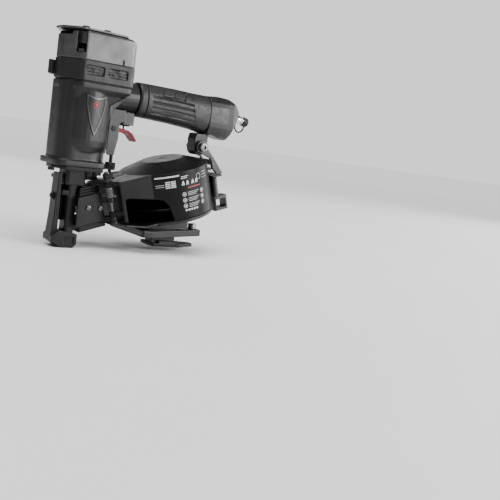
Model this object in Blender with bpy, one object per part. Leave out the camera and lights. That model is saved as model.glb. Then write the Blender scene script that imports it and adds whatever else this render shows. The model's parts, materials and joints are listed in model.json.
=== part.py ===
"""Pneumatic coil roofing nailer, built as separate pieces.

Every length below is in millimetres and the helpers turn it into metres.
Tool frame: the nails leave downwards along the drive line at x = BORE_X, +X runs back
along the handle, +Y is the tool's right side and +Z is up. The magazine has its own frame,
tilted about Y, with its drum's axis upright in it.
"""
import math

import bmesh
import bpy
from mathutils import Vector

MM = 0.001
GAP = 0.3

# Overall
FRONT_X = -40.5
REAR_X = 243.9
BORE_X = -3.0

# Head and barrel
BARREL_X = 1.0
BARREL_R = 33.5
BORE_R = 27.3
FLANGE_Z = 99.0
HOUSING_TOP = 197.4
BAND_Z = (198.7, 221.7)
CAP_Z = (222.0, 254.6)
COVER_PLATE_Z = (254.9, 257.2)
SLEEVE_R = 24.0
SLEEVE_BORE_R = 21.5
SLEEVE_LOW = 119.0
CAP_SCREWS = [(-18.0, -27.0), (-18.0, 27.0), (39.5, -29.0), (39.5, 29.0)]
COVER_SCREWS = [(-13.0, -20.0), (14.0, -20.0)]

# Handle
HANDLE_Z = 187.5
TUBE_HALF_Y = 15.5
TUBE_HALF_Z = 17.5
GRIP_X = (68.3, 170.0)
TUBE_END_X = 186.0
PLUG_START = (214.6, 0.0, 186.5)
PLUG_TILT = math.radians(101.4)

# Trigger
PIN_X = 39.2
PIN_Z = 148.8
PIN_R = 2.0
STEM_X = 59.0
EAR_Y = (10.8, 13.2)

# Nose
NOSE_BOTTOM = 9.0
NOSE_HALF_X = 6.0
NOSE_HALF_Y = 10.0
NAIL_R = 5.0
GUIDE_TOP = 84.0
NOSE_SCREWS = [(-29.5, 0.0), (21.0, -20.5), (21.0, 20.5)]
LINK_ROD = (43.0, -6.0)
LINK_Y = (13.6, 16.0)

# Magazine frame: the drum's floor centre, and the tilt of its axis
DRUM_FLOOR = (139.0, 0.0, 48.8)
DRUM_TILT = math.radians(16.8)
DRUM_R = 57.2
DRUM_WALL = 2.4
DRUM_HEIGHT = 63.2
LID_TOP_R = 27.2
LID_TOP = 74.0
HINGE_U = -93.0
HINGE_V = -30.0
HINGE_PIN_R = 2.0
KNUCKLE_R = 4.6
DOOR_V = (-19.6, -16.4)
DOOR_SCREWS = [(-119.0, 38.0), (-103.5, 34.0)]
FLOOR = 2.8
THROAT_FLOOR = [(-98.4, 12.6), (-98.4, 15.4), (-56, FLOOR), (-20, FLOOR), (-20, 0), (-56, 0)]
FEEDER = (33.0, 34.0)
LATCH_PIVOT = (69.5, 1.8)

# Rear bracket and shingle guide
BRACKET_BOLT = (167.0, 140.5)
BRACKET_HOLE_R = 3.8
GUIDE_SCREW = (176.0, 0.0)

for old in list(bpy.data.objects):
    bpy.data.objects.remove(old, do_unlink=True)


# ---------------------------------------------------------------- materials

def material(name, colour, roughness, metallic):
    made = bpy.data.materials.new(name)
    made.use_nodes = True
    shader = made.node_tree.nodes["Principled BSDF"]
    shader.inputs["Base Color"].default_value = (*colour, 1.0)
    shader.inputs["Roughness"].default_value = roughness
    shader.inputs["Metallic"].default_value = metallic
    return made


PAINT = material("dark_painted_casting", (0.045, 0.045, 0.047), 0.42, 0.35)
CAP_PAINT = material("grey_painted_cap", (0.12, 0.12, 0.125), 0.40, 0.35)
BARE = material("grey_cast_metal", (0.22, 0.22, 0.225), 0.45, 0.7)
BLACK_STEEL = material("black_steel", (0.025, 0.025, 0.027), 0.38, 0.6)
PLASTIC = material("black_plastic", (0.03, 0.03, 0.032), 0.45, 0.0)
RUBBER = material("black_rubber", (0.03, 0.03, 0.03), 0.75, 0.0)
CHROME = material("bright_steel", (0.75, 0.75, 0.76), 0.18, 1.0)
STEEL = material("plain_steel", (0.45, 0.45, 0.46), 0.32, 1.0)
RED = material("red_paint", (0.45, 0.01, 0.02), 0.35, 0.1)


# ---------------------------------------------------------------- frames

def empty(name, location, tilt=0.0, parent=None):
    made = bpy.data.objects.new(name, None)
    bpy.context.scene.collection.objects.link(made)
    made.parent = parent
    made.location = Vector(location) * MM
    made.rotation_euler = (0.0, tilt, 0.0)
    return made


TOOL = empty("tool_frame", (-(FRONT_X + REAR_X) / 2, 0.0, 0.0))
DRUM = empty("magazine_frame", DRUM_FLOOR, -DRUM_TILT, TOOL)
PLUG = empty("plug_frame", PLUG_START, PLUG_TILT, TOOL)


# ---------------------------------------------------------------- outlines

def circle(centre, radius, sides=20, start=0.0, end=360.0):
    """Points round a circle, or round an arc when start and end are given in degrees."""
    whole = abs(end - start) >= 360.0
    count = sides if whole else sides + 1
    angles = [math.radians(start + (end - start) * i / sides) for i in range(count)]
    return [(centre[0] + radius * math.cos(a), centre[1] + radius * math.sin(a)) for a in angles]


def ellipse(centre, half_a, half_b, sides=24):
    return [(centre[0] + half_a * x, centre[1] + half_b * y) for x, y in circle((0, 0), 1.0, sides)]


def rounded(points, radius, steps=3):
    """The polygon with each corner replaced by an arc of the given radius."""
    out = []
    for i, corner in enumerate(points):
        here = Vector(corner)
        back = Vector(points[i - 1]) - here
        ahead = Vector(points[(i + 1) % len(points)]) - here
        half = back.angle(ahead) / 2
        reach = min(radius / math.tan(half), 0.49 * back.length, 0.49 * ahead.length)
        first = here + back.normalized() * reach
        last = here + ahead.normalized() * reach
        for k in range(steps + 1):
            t = k / steps
            point = first * (1 - t) ** 2 + here * 2 * t * (1 - t) + last * t * t
            out.append((point.x, point.y))
    return out


def rectangle(a, b, radius=0.0, steps=3):
    points = [(a[0], b[0]), (a[1], b[0]), (a[1], b[1]), (a[0], b[1])]
    return rounded(points, radius, steps) if radius else points


def head_outline(grow=0.0):
    """The head seen from above: a narrow flat front, slanted cheeks and straight sides."""
    points = [(-34.3, -9), (-19, -36), (48.6, -36), (48.6, 36), (-19, 36), (-34.3, 9)]
    middle = 7.0
    points = [(x + grow * math.copysign(1, x - middle), y + grow * math.copysign(1, y)) for x, y in points]
    return rounded(points, 6.0, 4)


# ---------------------------------------------------------------- solids as bmeshes

def place(axis, a, b, height):
    if axis == "z":
        return (a, b, height)
    if axis == "y":
        return (a, height, b)
    return (height, a, b)


def loft(rings):
    """A closed solid through rings of equal length, capped at both ends."""
    bm = bmesh.new()
    rows = [[bm.verts.new(point) for point in ring] for ring in rings]
    count = len(rows[0])
    for low, high in zip(rows, rows[1:]):
        for i in range(count):
            j = (i + 1) % count
            bm.faces.new((low[i], low[j], high[j], high[i]))
    bm.faces.new(rows[0])
    bm.faces.new(rows[-1])
    return bm


def prism(points, axis, low, high):
    return loft([[place(axis, a, b, height) for a, b in points] for height in (low, high)])


def box(low, high):
    return prism(rectangle((low[0], high[0]), (low[1], high[1])), "z", low[2], high[2])


def cylinder(axis, centre, radius, low, high, sides=16):
    return prism(circle(centre, radius, sides), axis, low, high)


def turned(profile, axis="z", centre=(0.0, 0.0), sides=20):
    """A solid turned from (radius, height) pairs: closed on the axis, or bored if no radius is 0."""
    bm = bmesh.new()
    rows = []
    for radius, height in profile:
        points = [(0.0, 0.0)] if radius == 0 else circle((0, 0), radius, sides)
        rows.append([bm.verts.new(place(axis, centre[0] + a, centre[1] + b, height)) for a, b in points])
    bored = all(radius > 0 for radius, _ in profile)
    pairs = list(zip(rows, rows[1:])) + ([(rows[-1], rows[0])] if bored else [])
    for low, high in pairs:
        for i in range(sides):
            j = (i + 1) % sides
            corners = [low[i % len(low)], low[j % len(low)], high[j % len(high)], high[i % len(high)]]
            distinct = list(dict.fromkeys(corners))
            if len(distinct) > 2:
                bm.faces.new(distinct)
    return bm


def ring(axis, centre, inner, outer, low, high, sides=24):
    return turned([(outer, high), (outer, low), (inner, low), (inner, high)], axis, centre, sides)


def wire(points, radius, sides=5):
    """A round wire along a list of points."""
    path = [Vector(point) for point in points]
    rows = []
    normal = Vector((0.0, 0.0, 1.0))
    for i, point in enumerate(path):
        along = (path[min(i + 1, len(path) - 1)] - path[max(i - 1, 0)]).normalized()
        side = along.cross(normal)
        if side.length < 0.2:
            side = along.cross(Vector((0.0, 1.0, 0.0)))
        side.normalize()
        other = along.cross(side)
        rows.append([tuple(point + (side * a + other * b) * radius) for a, b in circle((0, 0), 1.0, sides)])
    return loft(rows)


def coil(axis, centre, radius, wire_radius, low, high, turns, per_turn=9):
    """A compression spring: a helix of wire."""
    points = []
    for i in range(turns * per_turn + 1):
        angle = 2 * math.pi * i / per_turn
        height = low + wire_radius + (high - low - 2 * wire_radius) * i / (turns * per_turn)
        a = centre[0] + radius * math.cos(angle)
        b = centre[1] + radius * math.sin(angle)
        points.append(place(axis, a, b, height))
    return wire(points, wire_radius, 4)


# ---------------------------------------------------------------- objects

def new_object(name, bm, parent, origin):
    bmesh.ops.recalc_face_normals(bm, faces=bm.faces)
    bmesh.ops.translate(bm, verts=bm.verts, vec=-Vector(origin))
    bmesh.ops.scale(bm, verts=bm.verts, vec=(MM, MM, MM))
    mesh = bpy.data.meshes.new(name)
    bm.to_mesh(mesh)
    bm.free()
    mesh.shade_smooth()
    mesh.set_sharp_from_angle(angle=math.radians(30))
    made = bpy.data.objects.new(name, mesh)
    bpy.context.scene.collection.objects.link(made)
    made.parent = parent
    made.location = Vector(origin) * MM
    return made


def solid(name, finish, base, keep=(), add=(), cut=(), late=(), frame=TOOL, origin=(0.0, 0.0, 0.0)):
    """One piece: the base trimmed to keep, joined with add, hollowed by cut and joined with late.

    A helper shape is placed in the piece's own frame, or in another when given as (shape, frame).
    """
    piece = new_object(name, base, frame, origin)
    piece.data.materials.append(finish)
    steps = [
        ("keep", "INTERSECT", keep),
        ("add", "UNION", add),
        ("cut", "DIFFERENCE", cut),
        ("late", "UNION", late),
    ]
    for label, operation, shapes in steps:
        for number, entry in enumerate(shapes):
            shape, home = entry if isinstance(entry, tuple) else (entry, frame)
            spot = origin if home is frame else (0.0, 0.0, 0.0)
            helper = new_object(f"{name}_{label}_{number}", shape, home, spot)
            helper.hide_render = True
            helper.display_type = "WIRE"
            boolean = piece.modifiers.new(f"{label} {number}", "BOOLEAN")
            boolean.operation = operation
            boolean.solver = "EXACT"
            boolean.object = helper
    return piece


def screw(name, finish, axis, centre, seat, point, head_side, head_r=4.0, head_h=3.6, shank_r=2.2,
          frame=TOOL):
    """A socket screw: shank from seat to point, head on the other side of the seat."""
    head_end = seat + head_side * head_h
    socket = head_end - head_side * head_h * 0.55
    profile = [
        (0.0, point),
        (shank_r, point),
        (shank_r, seat),
        (head_r, seat),
        (head_r, head_end),
        (head_r * 0.45, head_end),
        (head_r * 0.45, socket),
        (0.0, socket),
    ]
    return solid(name, finish, turned(profile, axis, centre, 10), frame=frame)


# ---------------------------------------------------------------- housing

def web_outline(grow=0.0):
    """The casting behind the barrel, swept forward under the handle."""
    points = [
        (10, HOUSING_TOP + 3),
        (48.3, HOUSING_TOP + 3),
        (48.3, 191),
        (46.0, 184.5),
        (41.5, 178),
        (35.5, 171),
        (31.0, 162),
        (28.5, 150),
        (27.5, 106),
        (10, 106),
    ]
    return [(x + grow, z - grow) if z < HOUSING_TOP else (x + grow, z + grow) for x, z in points]


def tube_section(x, grow=0.0):
    return [(x, y, z) for y, z in ellipse((0, HANDLE_Z), TUBE_HALF_Y + grow, TUBE_HALF_Z + grow)]


def housing():
    column = prism(rectangle((-33, 26), (-27, 27), 20, 8), "z", FLANGE_Z, HOUSING_TOP + 0.5)
    dome = [(0.0, 111.0), (15, 111.3), (23, 113.2), (29, 117.6), (32.4, 123.5), (BARREL_R, 131)]
    barrel = turned(dome + [(BARREL_R, HOUSING_TOP + 1), (0.0, HOUSING_TOP + 1)], "z", (BARREL_X, 0), 36)
    flange = prism(rectangle((-36, 30), (-30, 30), 12), "z", FLANGE_Z, 106)
    collar_low = rounded([(-30, -8.5), (-18, -26), (24, -25.5), (24, 25.5), (-18, 26), (-30, 8.5)], 6.0, 4)
    collar_mid = [(-32.4, -8.8), (-18.8, -30.2), (41, -29), (41, 29), (-18.8, 30.2), (-32.4, 8.8)]
    collar = loft([
        [(x, y, 172) for x, y in collar_low],
        [(x, y, 185) for x, y in rounded(collar_mid, 6.0, 4)],
        [(x, y, 191) for x, y in head_outline(-0.8)],
        [(x, y, HOUSING_TOP + 2) for x, y in head_outline(-0.8)],
    ])
    web = prism(web_outline(), "y", -17.5, 17.5)
    neck = loft([
        [(x, y, z) for y, z in ellipse((0, z_mid), half_y, half_z)]
        for x, z_mid, half_y, half_z in ((20, 187.5, 19, 19), (50, 187.8, 18.5, 19), (67.9, 188.2, 18, 19.3))
    ])
    tube = loft([tube_section(20), tube_section(TUBE_END_X)])
    bore = cylinder("z", (BORE_X, 0), BORE_R, 118, 220, 32)
    head_seat = box((-60, -60, HOUSING_TOP), (49.1, 60, 220))
    driver_hole = cylinder("z", (BORE_X, 0), 10.0, 90, 119, 20)
    reservoir = loft([tube_section(15, -4.0), tube_section(200, -4.0)])
    valve_hole = cylinder("z", (STEM_X, 0), 7.6, 150, 182, 20)
    screw_holes = [cylinder("z", place_xy, 2.5, 90, 110.5, 12) for place_xy in NOSE_SCREWS]
    corner_holes = [cylinder("z", place_xy, 2.4, 190, 200, 12) for place_xy in CAP_SCREWS]
    return solid(
        "housing", PAINT, column,
        add=[barrel, flange, collar, web, neck, tube],
        cut=[head_seat, bore, driver_hole, reservoir, valve_hole] + screw_holes + corner_holes,
    )


# ---------------------------------------------------------------- head

def head_gasket():
    outer = prism(head_outline(-1.2), "z", HOUSING_TOP + 0.25, BAND_Z[0] - 0.25)
    cavity = cylinder("z", (BORE_X, 0), BORE_R, 190, 205, 32)
    holes = [cylinder("z", spot, 2.6, 190, 205, 12) for spot in CAP_SCREWS]
    return solid("cap_gasket", RUBBER, outer, cut=[cavity] + holes)


def head_band():
    low, high = BAND_Z
    windows = []
    for side in (-1, 1):
        inner, outer = sorted((side * 33.1, side * 40))
        for start, end in ((-14.5, 8.5), (13.5, 38.5)):
            windows.append(prism(rectangle((start, end), (205.8, 216.4), 2.5), "y", inner, outer))
        slot = sorted((side * 33.3, side * 35.2))
        windows.append(box((-15.6, slot[0], 204.3), (40.5, slot[1], 217.9)))
    holes = [cylinder("z", spot, 2.6, 190, 230, 12) for spot in CAP_SCREWS]
    cavity = cylinder("z", (BORE_X, 0), BORE_R, 190, 230, 32)
    return solid("head_band", PAINT, prism(head_outline(), "z", low, high), cut=windows + [cavity] + holes)


def vent_screen(name, side):
    """The louvred strip behind the two windows of one side."""
    y = sorted((side * 33.6, side * 34.9))
    return solid(name, BLACK_STEEL, box((-15.3, y[0], 204.6), (40.2, y[1], 217.6)))


def head_cap():
    low, high = CAP_Z
    block = loft([
        [(x, y, z) for x, y in head_outline(grow)]
        for z, grow in ((low, -0.5), (251.6, -0.5), (253.6, -1.3), (high, -2.8))
    ])
    arc = circle((35.7, 242.1), 12.5, 7, 0, 90)
    trim = prism([(-60, low - 5), (48.6, low - 5)] + arc + [(-60, high + 5)], "y", -60, 60)
    cavity = cylinder("z", (BORE_X, 0), BORE_R, low - 5, 240, 32)
    exhaust = box((-60, -19, 248.6), (-12, 19, high + 5))
    passage = box((-24, -8, 236), (-12, 8, 250))
    cuts = [cavity, exhaust, passage]
    for side in (-1, 1):
        notch = sorted((side * 34.2, side * 40))
        cuts.append(box((29.4, notch[0], low - 2), (31.8, notch[1], 228.4)))
        cuts.append(cylinder("z", (-18.0, side * 27.0), 5.4, 229.0, high + 5, 16))
        channel = [(-21.5, side * 23.0), (-36, side * 31), (-24, side * 46), (-13, side * 30)]
        cuts.append(prism(channel, "z", 229.0, high + 5))
        cuts.append(cylinder("z", (39.5, side * 29.0), 4.6, 244.0, high + 5, 16))
    cuts += [cylinder("z", spot, 2.6, low - 5, 246, 12) for spot in CAP_SCREWS]
    cuts += [cylinder("z", spot, 2.0, 247, high + 5, 12) for spot in COVER_SCREWS]
    return solid("head_cap", CAP_PAINT, block, keep=[trim], cut=cuts)


def top_cover():
    """The exhaust deflector: a thin plate whose front edge overhangs the exhaust slot."""
    low, high = COVER_PLATE_Z
    plate = prism([(-36.5, low), (36.5, low), (33.0, high), (-35.5, high)], "y", -60, 60)
    outline = prism(head_outline(-1.2), "z", low - 3, high + 3)
    visor_outline = [(-36.5, -11), (-22, -34.5), (-10, -34.5), (-10, 34.5), (-22, 34.5), (-36.5, 11)]
    visor = prism(rounded(visor_outline, 4), "z", low, high)
    holes = [cylinder("z", spot, 2.3, low - 3, high + 3, 12) for spot in COVER_SCREWS]
    return solid("top_cover", CAP_PAINT, plate, keep=[outline], add=[visor], cut=holes)


def front_bumper():
    """The rubber pad on the head's right front cheek."""
    outline = [(-34.95, 8.7), (-40.5, 9.5), (-40.3, 13.5), (-27.5, 36.0), (-23.0, 34.8), (-22.4, 31.0)]
    pad = prism(rounded(outline, 1.2, 3), "z", 202.5, 218.5)
    return solid("front_bumper", RUBBER, pad, cut=[prism(head_outline(0.35), "z", 190, 230)])


def side_badge(name, side):
    """A blank shield that follows the barrel's round side."""
    shield = [(-8.4, 184), (4.2, 180.5), (16.8, 184), (14.8, 166), (4.2, 137), (-6.4, 166)]
    y = sorted((side * 18, side * 40))
    plate = prism(shield, "y", y[0], y[1])
    shell = ring("z", (BARREL_X, 0), BARREL_R + 0.35, BARREL_R + 1.3, 120, 190, 72)
    return solid(name, BARE, plate, keep=[shell])


def inner_works():
    centre = (BORE_X, 0)
    land_r = BORE_R - GAP
    sleeve = [
        (SLEEVE_BORE_R, 199.8), (SLEEVE_R, 199.8), (SLEEVE_R, 156), (land_r, 155), (land_r, 149),
        (SLEEVE_R, 148), (SLEEVE_R, 126), (land_r, 125), (land_r, SLEEVE_LOW), (SLEEVE_BORE_R, SLEEVE_LOW),
    ]
    solid("cylinder_sleeve", STEEL, turned(sleeve, "z", centre, 20))
    piston = [
        (3.0, 199.0), (20.0, 199.0), (21.2, 198), (21.2, 194.5), (19.8, 194.2), (19.8, 191.6), (21.2, 191.3),
        (21.2, 187), (12, 186), (3.0, 186),
    ]
    solid("piston", STEEL, turned(piston, "z", centre, 20))
    blade = [(0.0, 60.5), (2.6, 60.5), (2.6, 199.3), (5.5, 199.3), (5.0, 201.3), (0.0, 201.3)]
    solid("driver_blade", CHROME, turned(blade, "z", centre, 16))
    bumper = [(6.0, 132.5), (17.0, 132.5), (20.8, 128), (21.2, 118.4), (6.0, 118.4)]
    solid("piston_bumper", RUBBER, turned(bumper, "z", centre, 20))
    valve = [(13.0, 211.5), (26.9, 211.5), (26.9, 206), (25.4, 200.2), (20.5, 200.2), (13.0, 204)]
    solid("head_valve", PLASTIC, turned(valve, "z", centre, 20))
    solid("head_valve_spring", STEEL, coil("z", centre, 19.0, 1.1, 211.9, 239.6, 4))


def head():
    head_gasket()
    head_band()
    vent_screen("vent_screen_left", -1)
    vent_screen("vent_screen_right", 1)
    head_cap()
    top_cover()
    front_bumper()
    side_badge("side_badge_left", -1)
    side_badge("side_badge_right", 1)
    for number, spot in enumerate(CAP_SCREWS, 1):
        seat = 229.3 if spot[0] < 0 else 244.3
        screw(f"cap_screw_{number}", BLACK_STEEL, "z", spot, seat, 190.6, 1, head_h=4.2)
    for number, spot in enumerate(COVER_SCREWS, 1):
        screw(f"cover_screw_{number}", BLACK_STEEL, "z", spot, COVER_PLATE_Z[1] + 0.3, 248.0, 1,
              head_r=4.2, head_h=2.6, shank_r=1.7)
    inner_works()


# ---------------------------------------------------------------- handle

def grip_section(x, z_mid, half_y, half_z, power=2.5, sides=28):
    """A superellipse, fuller at its corners than an ellipse."""
    points = []
    for y, z in circle((0, 0), 1.0, sides):
        scale = (abs(y) ** power + abs(z) ** power) ** (-1 / power)
        points.append((x, half_y * y * scale, z_mid + half_z * z * scale))
    return points


def handle_grip():
    sections = [
        (GRIP_X[0], 187.8, 19.2, 20.6), (GRIP_X[0] + 2, 187.8, 20.2, 21.4), (86, 187.6, 20.4, 21.6),
        (120, 186.4, 20.8, 22.4), (150, 184.4, 20.8, 23.2), (GRIP_X[1] - 0.3, 183.0, 20.8, 24.4),
    ]
    sleeve = loft([grip_section(*section) for section in sections])
    return solid("handle_grip", RUBBER, sleeve, cut=[loft([tube_section(50, GAP), tube_section(200, GAP)])])


def end_cap():
    outline = rounded([
        (170.0, 207.4), (186, 208.6), (202, 207.6), (213, 202.5), (221.6, 193.0), (221.8, 190.2),
        (219.4, 182.0), (206.4, 157.0), (205.8, 152.8), (196, 152.8), (183, 156.8), (170.0, 158.6),
    ], 2.5, 3)
    body = prism(outline, "y", -30, 30)
    widths = ((160, 20.8), (190, 20.8), (200, 19.8), (210, 16.8), (218, 12.6), (226, 7.8))
    section = loft([grip_section(x, 180.8, half_y, 28.4, 2.9) for x, half_y in widths])
    lug_outline = [
        (176, 160), (176.5, 150), (175.5, 137), (170, 131.0), (162, 129.5), (157, 134), (156.2, 150),
        (157.6, 157.6), (169, 157.9), (171, 160),
    ]
    lug = prism(rounded(lug_outline, 2.0, 3), "y", -12.0, 7.0)
    socket = loft([tube_section(150, GAP), tube_section(TUBE_END_X + GAP, GAP)])
    chamber = loft([tube_section(180, -4.0), tube_section(202, -8.0)])
    bolt_hole = cylinder("y", BRACKET_BOLT, BRACKET_HOLE_R, -40, 40, 16)
    port = cylinder("z", (0, 0), 5.2, -30, 20, 20)
    spot_face = cylinder("z", (0, 0), 8.2, 5.0, 30, 20)
    return solid("end_cap", PAINT, body, keep=[section], add=[lug],
                 cut=[socket, chamber, bolt_hole, (port, PLUG), (spot_face, PLUG)])


def air_fitting():
    profile = [
        (0.0, -9), (4.9, -9), (4.9, 5.4), (7.2, 5.4), (7.2, 10.0), (5.6, 10.6), (5.6, 14.0), (4.6, 14.6),
        (4.6, 17.6), (5.2, 18.0), (5.2, 19.8), (3.4, 20.4), (3.4, 22.2), (0.0, 22.2),
    ]
    solid("air_plug", CHROME, turned(profile, sides=18), frame=PLUG)
    cup = [
        (0.0, 28.8), (5.2, 28.8), (6.2, 27.8), (6.2, 20.4), (5.5, 20.4), (3.8, 21.0), (3.8, 22.8),
        (0.0, 22.8),
    ]
    solid("dust_cap", RUBBER, turned(cup, sides=20), frame=PLUG, origin=(0.0, 0.0, 22.8))
    sweep = [math.radians(a) for a in range(-90, 91, 15)]
    strap = [(7.6 + 8.4 * math.cos(a), 0.0, 18.9 + 7.3 * math.sin(a)) for a in sweep]
    solid("dust_cap_strap", RUBBER, wire(strap, 0.8), frame=PLUG)


def handle():
    handle_grip()
    end_cap()
    air_fitting()


# ---------------------------------------------------------------- trigger

def trigger_bracket():
    """The raw casting under the handle: two ears for the trigger and the valve's tower."""
    ear = [
        (30.4, 118), (37, 115.8), (43, 117), (45, 129), (46.5, 137), (46.5, 156), (52, 158), (53, 182),
        (41, 182), (30.4, 168),
    ]
    near = prism(ear, "y", -EAR_Y[1], -EAR_Y[0])
    far = prism(ear, "y", EAR_Y[0], EAR_Y[1])
    roof = box((31, -EAR_Y[1], 158), (53, EAR_Y[1], 184))
    tower = prism(rectangle((50.5, 67.0), (-11, 11), 3), "z", 155.0, 184)
    cuts = [
        prism(web_outline(0.5), "y", -30, 30),
        cylinder("z", (BARREL_X, 0), BARREL_R + 0.5, 90, 220, 36),
        loft([tube_section(10, 3.6), tube_section(100, 3.6)]),
        cylinder("z", (STEM_X, 0), 7.6, 150, 190, 20),
        cylinder("y", (PIN_X, PIN_Z), PIN_R + GAP, -30, 30, 16),
    ]
    return solid("trigger_bracket", BARE, near, add=[far, roof, tower], cut=cuts)


def trigger_set():
    trigger_bracket()
    valve = [(2.3, 178), (7.3, 178), (7.3, 155), (6.2, 153.4), (2.3, 153.4)]
    solid("valve_body", BLACK_STEEL, turned(valve, "z", (STEM_X, 0), 20))
    stem = [(0.0, 149.5), (1.6, 149.5), (2.0, 150.2), (2.0, 181), (0.0, 181)]
    solid("valve_stem", CHROME, turned(stem, "z", (STEM_X, 0), 12), origin=(STEM_X, 0.0, 149.5))
    outline = rounded([
        (36.0, 152.2), (42.0, 151.9), (52, 149.9), (61.5, 148.7), (67.5, 145.6), (74.6, 137.2), (71.8, 135.2),
        (65.5, 142.2), (60.0, 145.0), (44.0, 145.2), (36.5, 144.8),
    ], 1.5, 3)
    blade = prism(outline, "y", -10.3, 10.3)
    near_edge = [(30, -10.3), (44, -10.3), (60, -8.2), (80, -7.4)]
    far_edge = [(x, -y) for x, y in reversed(near_edge)]
    taper = prism(near_edge + far_edge, "z", 120, 160)
    pivot = cylinder("y", (PIN_X, PIN_Z), PIN_R + GAP, -30, 30, 16)
    solid("trigger", RED, blade, keep=[taper], cut=[pivot], origin=(PIN_X, 0.0, PIN_Z))
    pin = [(0.0, -14.2), (3.4, -14.2), (3.4, -13.5), (PIN_R, -13.5), (PIN_R, 14.2), (0.0, 14.2)]
    solid("trigger_pin", BLACK_STEEL, turned(pin, "y", (PIN_X, PIN_Z), 16))


# ---------------------------------------------------------------- nose

def nose_section(grow, radius):
    """The nose tube's outline seen from above."""
    sides = (BORE_X - NOSE_HALF_X - grow, BORE_X + NOSE_HALF_X + grow)
    return rectangle(sides, (-NOSE_HALF_Y - grow, NOSE_HALF_Y + grow), radius)


def nose():
    flange_outline = [(-33, -8), (-24, -27), (24, -27), (27, -22), (27, 22), (24, 27), (-24, 27), (-33, 8)]
    flange = prism(rounded(flange_outline, 3, 3), "z", 94.5, FLANGE_Z - GAP)
    pilot = cylinder("z", (BORE_X, 0), 9.6, 98, 110, 24)
    block = prism(rectangle((-15, 11), (-13, 13), 4), "z", 76, 95)
    post_outline = [(19.5, 95), (26.5, 95), (26.0, 83.2), (20.0, 81.4)]
    posts = [prism(post_outline, "y", low, high) for low, high in ((-9, -3), (8, 12))]
    cuts = [
        cylinder("z", (BORE_X, 0), NAIL_R, 0, 120, 16),
        box((-25.5, -10, 90), (-16.6, 10, 105)),
        prism(nose_section(GAP, 3), "z", 70, GUIDE_TOP + GAP),
    ]
    cuts += [cylinder("z", spot, 2.5, 90, 105, 12) for spot in NOSE_SCREWS]
    solid("nose", BLACK_STEEL, flange, add=[pilot, block] + posts, cut=cuts)
    for number, spot in enumerate(NOSE_SCREWS, 1):
        screw(f"nose_screw_{number}", BLACK_STEEL, "z", spot, 94.2, 110.0, -1)


def driver_guide():
    """The tube under the nose, set into it, open at the back where the nails come in."""
    column = prism(nose_section(0.0, 3), "z", NOSE_BOTTOM, GUIDE_TOP)
    fin = box((-15.8, 5.6, 31), (-8.6, 9.6, 75.0))
    lug = box((-16.2, -9.6, 63), (-8.6, 9.6, 69))
    cuts = [
        cylinder("z", (BORE_X, 0), NAIL_R, 0, 120, 16),
        box((BORE_X, -NAIL_R, 12), (8, NAIL_R, 60)),
    ]
    solid("driver_guide", BLACK_STEEL, column, add=[fin, lug], cut=cuts)


def contact_set():
    strip = prism([(-22.3, 89), (-18.2, 89), (-17.2, 16), (-25.6, 9), (-25.6, 15), (-23.8, 40)], "y", -9, 9)
    foot_outline = [(-25.8, 14), (-25.8, 7.5), (-13.5, 0), (1.5, 0), (6.4, 5), (6.4, 17), (-17.2, 21)]
    foot = prism(rounded(foot_outline, 1.2, 2), "y", -14, 14)
    hollow = prism(nose_section(0.5, 2), "z", -5, 30)
    pockets = [box((-10.5, low, 4.6), (2.6, high, 13.6)) for low, high in ((-15, -12.4), (12.4, 15))]
    pad = cylinder("y", (-22.6, 60.5), 4.6, -3, 3, 16)
    ear = box((-22.2, 8, 81.6), (-18.3, LINK_Y[0] - GAP, 86.0))
    solid("contact_arm", BLACK_STEEL, strip, add=[foot, pad, ear], cut=[hollow] + pockets)
    bar = box((-22.2, LINK_Y[0], 81.6), (45.2, LINK_Y[1], 86.0))
    cross = box((40.8, -8.2, 81.6), (45.2, LINK_Y[1], 86.0))
    rod = cylinder("z", LINK_ROD, 2.2, 82, 128, 12)
    solid("contact_link", BLACK_STEEL, bar, add=[cross, rod])
    wheel = ring("z", LINK_ROD, 2.5, 6.4, 98.5, 107.5, 24)
    notches = []
    for spot in circle(LINK_ROD, 7.2, 8):
        notches.append(cylinder("z", spot, 1.5, 90, 120, 8))
    solid("depth_wheel", BLACK_STEEL, wheel, cut=notches, origin=(*LINK_ROD, 98.5))


# ---------------------------------------------------------------- feed

def drum_solid(name, finish, base, **options):
    return solid(name, finish, base, frame=DRUM, **options)


def knuckle(low, high):
    return cylinder("z", (HINGE_U, HINGE_V), KNUCKLE_R, low, high, 20)


def pin_hole():
    return cylinder("z", (HINGE_U, HINGE_V), HINGE_PIN_R + GAP, -20, 100, 16)


def feed_guide():
    """The fixed side of the nail channel, from the nose back to the magazine's throat."""
    back = box((-150, 8, 9), (-98.8, 11, 62.5))
    top = box((-150, -16, 53), (-98.8, 11, 62.5))
    bottom = box((-150, -16, 10), (-98.8, 11, 16.6))
    riser = box((-106, -16, 60), (-101, -10, 70))
    arm = prism(rounded([(-106, -16), (-106, -10), (-96, -10), (-88, -27), (-88.4, -34), (-97.6, -34)], 2, 3),
                "z", 66.2, 70)
    grooves = [box((-160, -17, w), (-98, -14.6, w + 1.2)) for w in (55.4, 58.8)]
    slot = box((-140, 7, 27), (-111, 12, 41))
    nose_room = box((-60, -40, -20), (BORE_X + NOSE_HALF_X + GAP, 40, 120))
    foot_room = box((-60, -40, -20), (6.9, 40, 26))
    return drum_solid("feed_guide", BLACK_STEEL, back, add=[top, bottom, riser, arm],
                      cut=[slot, pin_hole(), (nose_room, TOOL), (foot_room, TOOL)] + grooves)


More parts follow.
